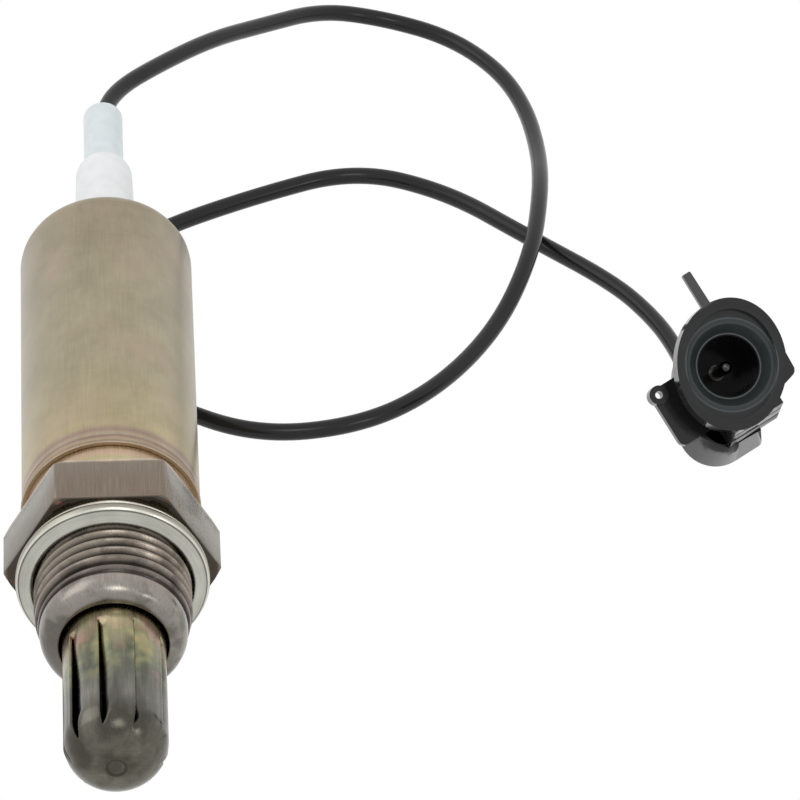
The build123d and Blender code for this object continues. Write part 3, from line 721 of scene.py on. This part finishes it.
# A dark ring is painted round the punch's dimple, as painted shade at its rim.
painted_rim_shade = within(tree, from_axis(tree, place), mark_radius - mark_rim, mark_radius, 0.15)
on_tip = within(tree, along, -40.0, 0.3 - tube_reach, 0.2)
tint = mixed(tree, times(tree, painted_rim_shade, on_tip), tint, (0.05, 0.048, 0.038, 1))
tree.links.new(tint, shader.inputs["Base Color"])
louvred_tube = new_piece("louvred_tube", tube, sensor_place, tube_steel, sharp_from=radians(60))
wall = louvred_tube.modifiers.new("sheet", "SOLIDIFY")
wall.thickness = tube_wall * MM
wall.offset = -1
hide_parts("protection_tube")
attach(louvred_tube, "root")

# ---- sleeve -------------------------------------------------------------------------------------
# Drawn stainless sleeve over the back of the sensor, welded round the collar and closed in round
# the bush. Welding and exhaust heat leave straw, rose and olive bands on it.
sleeve_radius = 10.3
sleeve_wall = 0.6
sleeve_start = 10.9
sleeve_end = 60.7
sleeve_shoulder = 2.6
sleeve_hole = 4.0
front_bead = 0.12
front_bead_length = 0.8
rear_bead = 0.072
rear_bead_start = 1.2
rear_bead_end = 1.7
bead_groove = 0.02
bead_side = 0.1
sleeve = turned([
    (sleeve_start, sleeve_radius - sleeve_wall, 0),
    (sleeve_start, sleeve_radius + front_bead, 0.12),
    (sleeve_start + front_bead_length, sleeve_radius + front_bead, 0.1),
    (sleeve_start + front_bead_length + bead_side, sleeve_radius - bead_groove, 0.05),
    (sleeve_start + rear_bead_start - bead_side, sleeve_radius - bead_groove, 0.05),
    (sleeve_start + rear_bead_start, sleeve_radius + rear_bead, 0.1),
    (sleeve_start + rear_bead_end, sleeve_radius, 0.1),
    (sleeve_end, sleeve_radius, sleeve_shoulder),
    (sleeve_end, sleeve_hole, 0.2),
    (sleeve_end - sleeve_wall, sleeve_hole, 0),
    (sleeve_end - sleeve_wall, sleeve_radius - sleeve_wall, sleeve_shoulder - sleeve_wall),
])
sleeve_steel, tree, shader, place, _, tint, _ = worn_metal(
    "tinted_sleeve_steel",
    [
        # Near the rim the weld bands are lightened with painted light, against the dark hexagon
        # that the rim face mirrors and the shade at the sleeve's end.
        (0.000, (0.60, 0.50, 0.36)),
        (0.010, (0.26, 0.19, 0.14)),
        (0.020, (0.50, 0.40, 0.26)),
        (0.030, (0.25, 0.16, 0.14)),
        (0.040, (0.44, 0.37, 0.25)),
        (0.055, (0.34, 0.24, 0.20)),
        (0.075, (0.46, 0.385, 0.235)),
        (0.30, (0.385, 0.34, 0.228)),
        (0.60, (0.36, 0.315, 0.22)),
        (1.00, (0.325, 0.275, 0.19)),
    ],
    span=(10.7, sleeve_end), rings=0.3, scratches=0.6, gloss=(0.28, 0.44), bump=0.3, wander=0.5,
)
# Faint rose stains lie down the sleeve.
stains = climb(tree, noise(tree, place, 0.11, 5.0, 0.6), 0.5, 0.68, high=0.6)
tint = mixed(tree, stains, tint, (0.42, 0.325, 0.245, 1))
tree.links.new(tint, shader.inputs["Base Color"])
back_sleeve = new_piece("back_sleeve", sleeve, sensor_place, sleeve_steel)
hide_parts("protective_sleeve")
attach(back_sleeve, "root")

# ---- bush and hose ------------------------------------------------------------------------------
# Turned fluoropolymer bush whose neck stands out of the sleeve, and a thinner milky hose pushed
# into its mouth, which lets the lead bend.
bush_start = 59.0
bush_root_radius = 3.9
bush_neck_end = 77.9
bush_neck_radius = 3.42
bush_end = 79.2
bush_mouth_radius = 2.6
hose_socket = 70.0
hose_socket_radius = 2.47
hose_radius = 2.42
hose_end = hose_reach / MM
hose_bore = 1.25
lead_hole = 1.6
bush = turned([
    (bush_start, lead_hole, 0),
    (bush_start, bush_root_radius, 0),
    (bush_neck_end, bush_neck_radius, 0.7),
    (bush_end, bush_mouth_radius, 0.35),
    (bush_end, hose_socket_radius, 0),
    (hose_socket, hose_socket_radius, 0),
    (hose_socket, lead_hole, 0),
])
hose = turned([
    (hose_socket, hose_bore, 0),
    (hose_socket, hose_radius, 0),
    (hose_end, hose_radius, 0.9),
    (hose_end, hose_bore, 0.2),
])


def fluoropolymer(name, colour, roughness, depth_colour):
    """Waxy plastic that light sinks into, with faint clouding."""
    waxy = {
        "Roughness": roughness, "IOR": 1.38,
        "Subsurface Weight": 0.5, "Subsurface Radius": depth_colour, "Subsurface Scale": 1.2 * MM,
    }
    material, tree, shader = new_material(name, **waxy)
    place = sensor_place_in(tree)
    deeper = tuple(channel * 0.93 for channel in colour)
    clouding = colour_band(tree, noise(tree, place, 0.5, 4.0), [(0.35, deeper), (0.65, colour)])
    tree.links.new(clouding, shader.inputs["Base Color"])
    give_grain(tree, shader, noise(tree, place, 6.0, 3.0), bump=0.15)
    return material


white_bush = fluoropolymer("white_bush", (0.87, 0.88, 0.885), 0.42, (1.0, 0.9, 0.8))
milky_hose = fluoropolymer("milky_hose", (0.74, 0.80, 0.82), 0.3, (0.8, 0.9, 1.0))
for name, mesh, node_name, material in (
    ("bush_neck", bush, "ptfe_bush", white_bush),
    ("lead_hose", hose, "ptfe_hose", milky_hose),
):
    piece = new_piece(name, mesh, sensor_place, material)
    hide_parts(node_name)
    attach(piece, "root")

# ---- connector ----------------------------------------------------------------------------------
# One-way plug: a shroud round the terminal with a latch skirt and a wing, and the lock that snaps
# on behind it. Both are moulded in black nylon, glossy from a polished mould, with rounded edges.
connector_black, tree, shader = new_material(
    "connector_black", **{"Base Color": (0.012, 0.0125, 0.012, 1), "IOR": 1.5}
)
here = add_node(tree, "ShaderNodeTexCoord")
flow = noise(tree, here.outputs["Object"], 900.0, 4.0)
give_grain(tree, shader, flow, bump=0.12, gloss=(0.08, 0.2))

mouth_heading = atan2(mouth_direction.x, -mouth_direction.y)
mouth_roll = radians(24)
level_side = Vector((cos(mouth_heading), sin(mouth_heading), 0))
mouth_side = Matrix.Rotation(mouth_roll, 3, mouth_direction) @ level_side
mouth_up = mouth_direction.cross(mouth_side)
mouth_place = (
    Matrix.Translation(mouth)
    @ Matrix((mouth_side, mouth_up, mouth_direction)).transposed().to_4x4()
    @ Matrix.Scale(MM, 4)
)

# The funnel is painted paler, as a painted reflection, with thin painted highlights round its rims,
# and the well is painted near black with its reflection turned down, as painted shade.
from_mouth = add_node(
    tree, "ShaderNodeMapping",
    {
        "Vector": here.outputs["Object"], "Location": tuple(mouth),
        "Rotation": tuple(mouth_place.to_euler()), "Scale": (MM, MM, MM),
    },
    vector_type="TEXTURE",
)
from_middle = from_axis(tree, from_mouth.outputs["Vector"], 0.1)
tint = colour_band(tree, from_middle, [
    (0.000, (0.003, 0.0032, 0.003)),
    (0.375, (0.003, 0.0032, 0.003)),
    (0.385, (0.10, 0.11, 0.11)),
    (0.400, (0.024, 0.029, 0.029)),
    (0.500, (0.032, 0.039, 0.041)),
    (0.540, (0.024, 0.030, 0.031)),
    (0.555, (0.075, 0.085, 0.09)),
    (0.570, (0.016, 0.0175, 0.017)),
    (0.690, (0.012, 0.0125, 0.012)),
])
over_mouth = add_node(tree, "ShaderNodeSeparateXYZ", {0: from_mouth.outputs["Vector"]}).outputs["Y"]
lock_finger = within(tree, over_mouth, 7.6, 20.0, 0.4)
tint = mixed(tree, lock_finger, tint, (0.07, 0.073, 0.07, 1))
tree.links.new(tint, shader.inputs["Base Color"])
past_well = climb(tree, from_middle, 0.37, 0.38, 0.08, 0.34)
tree.links.new(past_well, shader.inputs["Specular IOR Level"])


def moulded_copy(node_name):
    """A copy of a moulded solid in millimetres from the mouth, its flat faces joined up."""
    bm = bmesh.new()
    bm.from_mesh(frame["nodes"][node_name].data)
    bm.transform(mouth_place.inverted())
    bmesh.ops.remove_doubles(bm, verts=bm.verts, dist=0.002)
    bmesh.ops.dissolve_limit(
        bm, angle_limit=radians(0.6), verts=bm.verts, edges=bm.edges, use_dissolve_boundaries=False
    )
    return bm


def moulded_piece(name, bm, rounding):
    """A moulded piece whose remaining sharp edges are rounded a little."""
    piece = new_piece(name, bm, mouth_place, connector_black, sharp_from=radians(24))
    edges = piece.modifiers.new("mould_edges", "BEVEL")
    edges.width = rounding * MM
    edges.segments = 2
    edges.limit_method = "ANGLE"
    edges.angle_limit = radians(32)
    edges.harden_normals = True
    return piece


ledge_depth = 5.5
skirt_corner_middle = Vector((-3.0, -5.3))
skirt_corner = 3.6
skirt_drop = 8.9
skirt_rounding = 0.5
skirt_rounding_depth = 0.9
skirt_rounding_fades_over = 1.2
skirt_edge_band = 0.3
pad_right = 2.9
pad_left = -4.6
pad_underside = -8.35
pad_top = -6.3
pad_groove_top = -6.9
pad_groove_places = (1.7, 3.6)
pad_groove_width = 0.3
pad_groove_cut = 0.3

housing = moulded_copy("connector_housing")

# The skirt's front edge is well rounded over on the outside.
for vert in housing.verts:
    past_ledge = -ledge_depth - vert.co.z
    if not -0.03 < past_ledge < skirt_rounding_depth:
        continue
    rounding = skirt_rounding * (1 - max(0.0, past_ledge) / skirt_rounding_depth) ** 2
    from_corner = vert.co.xy - skirt_corner_middle
    if max(from_corner) < 0 and from_corner.length > skirt_corner - skirt_edge_band:
        past_wing = min(1.0, -from_corner.y / skirt_rounding_fades_over)
        vert.co.xy -= from_corner.normalized() * rounding * past_wing
    elif skirt_corner_middle.x <= vert.co.x < 0 and vert.co.y < skirt_edge_band - skirt_drop:
        vert.co.y += rounding
# Two shallow drip grooves cross the pad's underside.
for depth in pad_groove_places:
    for groove_part in (-pad_groove_width / 2, 0.0, pad_groove_width / 2):
        near = []
        for face in housing.faces:
            middle = face.calc_center_median()
            under_pad = pad_left < middle.x < pad_right and pad_underside < middle.y < pad_top
            if under_pad and middle.z > -ledge_depth:
                near.append(face)
        parts = {part for face in near for part in (face, *face.edges, *face.verts)}
        bmesh.ops.bisect_plane(
            housing, geom=list(parts), plane_co=(0, 0, groove_part - depth), plane_no=(0, 0, 1)
        )
    for vert in housing.verts:
        across_pad = pad_left < vert.co.x < pad_right and vert.co.y < pad_groove_top
        if across_pad and abs(vert.co.z + depth) < 0.001:
            vert.co.y += pad_groove_cut
shroud = moulded_piece("connector_shroud", housing, 0.14)
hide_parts("connector_housing")
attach(shroud, "root")
lock = moulded_piece("rear_lock_clip", moulded_copy("rear_lock"), 0.1)
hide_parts("rear_lock")
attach(lock, "root")

# ---- pieces inside ------------------------------------------------------------------------------
# The zirconia thimble is packed into the shell with talc under a ceramic tube, which a spring
# washer holds down. A sprung contact and a crimp join it to the lead, whose other end is crimped
# in the terminal and sealed with silicone. Each finish is dark, light, roughness and metallic.
spring_steel = ((0.45, 0.43, 0.40), (0.55, 0.52, 0.48), 0.35, 1.0)
contact_alloy = ((0.50, 0.48, 0.44), (0.60, 0.57, 0.52), 0.3, 1.0)
hidden_jacket = ((0.012, 0.012, 0.013), (0.02, 0.02, 0.021), 0.4, 0.0)
inside = {
    "sensor_element": ((0.10, 0.10, 0.098), (0.16, 0.155, 0.15), 0.7, 0.0),
    "talc_ring": ((0.55, 0.55, 0.53), (0.64, 0.64, 0.62), 0.9, 0.0),
    "support_ceramic": ((0.72, 0.68, 0.60), (0.80, 0.76, 0.68), 0.6, 0.0),
    "element_gasket": spring_steel,
    "disc_spring": spring_steel,
    "contact_sleeve": contact_alloy,
    "contact_stem": contact_alloy,
    "crimp_terminal": contact_alloy,
    # The terminal's near-black metal is painted shade, for the pin deep in the connector's mouth.
    "male_terminal": ((0.035, 0.032, 0.029), (0.06, 0.056, 0.052), 0.2, 1.0),
    "cable_seal": ((0.02, 0.02, 0.022), (0.035, 0.035, 0.037), 0.6, 0.0),
    "lead_end": hidden_jacket,
    "lead_tip": hidden_jacket,
}
for name, (dark, light, roughness, metallic) in inside.items():
    finish = {"Roughness": roughness, "Metallic": metallic}
    material, tree, shader = new_material(name + "_finish", **finish)
    here = add_node(tree, "ShaderNodeTexCoord")
    mottle = noise(tree, here.outputs["Object"], 1500.0, 5.0)
    tint = colour_band(tree, mottle, [(0.35, dark), (0.65, light)])
    tree.links.new(tint, shader.inputs["Base Color"])
    give_grain(tree, shader, mottle, bump=0.2)
    node = frame["nodes"][name]
    node.data.materials.clear()
    node.data.materials.append(material)

# ---- floor, backdrop and light ----------------------------------------------------------------
# The sensor lies on a wide pale floor in a plain white studio. The floor and the world show white
# to the eye and in reflections, while their light on the object stays at a plain level.
floor_size = 6.0
floor_drop = 0.2 * MM
floor_grey = 0.8
world_light = 0.8
lamp_distance = 0.5
floor_mesh = bpy.data.meshes.new("floor")
bm = bmesh.new()
bmesh.ops.create_grid(bm, x_segments=1, y_segments=1, size=floor_size / 2)
bm.to_mesh(floor_mesh)
bm.free()
floor = bpy.data.objects.new("floor", floor_mesh)
bpy.context.scene.collection.objects.link(floor)
floor.location.z = -floor_drop


def seen_in(tree):
    """1 for what is seen straight, mirrored or through glass, and 0 for light on the piece."""
    seen = 0.0
    path = add_node(tree, "ShaderNodeLightPath")
    for ray in ("Is Camera Ray", "Is Glossy Ray", "Is Transmission Ray"):
        rays = {0: seen, 1: path.outputs[ray]}
        seen = add_node(tree, "ShaderNodeMath", rays, operation="MAXIMUM").outputs[0]
    return seen


material = bpy.data.materials.new("pale_floor")
material.use_nodes = True
tree = material.node_tree
tree.nodes.clear()
grey = (floor_grey, floor_grey, floor_grey, 1)
lit = add_node(tree, "ShaderNodeBsdfDiffuse", {"Color": grey})
white = add_node(tree, "ShaderNodeEmission", {"Strength": 1.0})
layers = {0: seen_in(tree), 1: lit.outputs[0], 2: white.outputs[0]}
shown = add_node(tree, "ShaderNodeMixShader", layers)
add_node(tree, "ShaderNodeOutputMaterial", {"Surface": shown.outputs[0]})
floor_mesh.materials.append(material)

world = bpy.data.worlds.new("studio")
bpy.context.scene.world = world
world.use_nodes = True
tree = world.node_tree
tree.nodes.clear()
brightness = climb(tree, seen_in(tree), 0.0, 1.0, low=world_light)
sky = add_node(tree, "ShaderNodeBackground", {"Color": (1, 1, 1, 1), "Strength": brightness})
add_node(tree, "ShaderNodeOutputWorld", {"Surface": sky.outputs[0]})

# Soft lamps: one overhead in front, one low on the right and one high on the left behind.
for name, direction, size, power in (
    ("lamp_front", (0.10, -0.46, 0.87), 0.16, 0.26),
    ("lamp_right", (0.66, -0.515, 0.5), 0.10, 0.13),
    ("lamp_left", (-0.75, 0.35, 0.65), 0.34, 0.3),
):
    lamp_data = bpy.data.lights.new(name, "AREA")
    lamp_data.size = size
    lamp_data.energy = power
    lamp = bpy.data.objects.new(name, lamp_data)
    towards = Vector(direction).normalized()
    lamp.matrix_world = towards.to_track_quat("Z", "Y").to_matrix().to_4x4()
    lamp.matrix_world.translation = seat + towards * lamp_distance
    bpy.context.scene.collection.objects.link(lamp)

bpy.context.scene.view_settings.view_transform = "Standard"
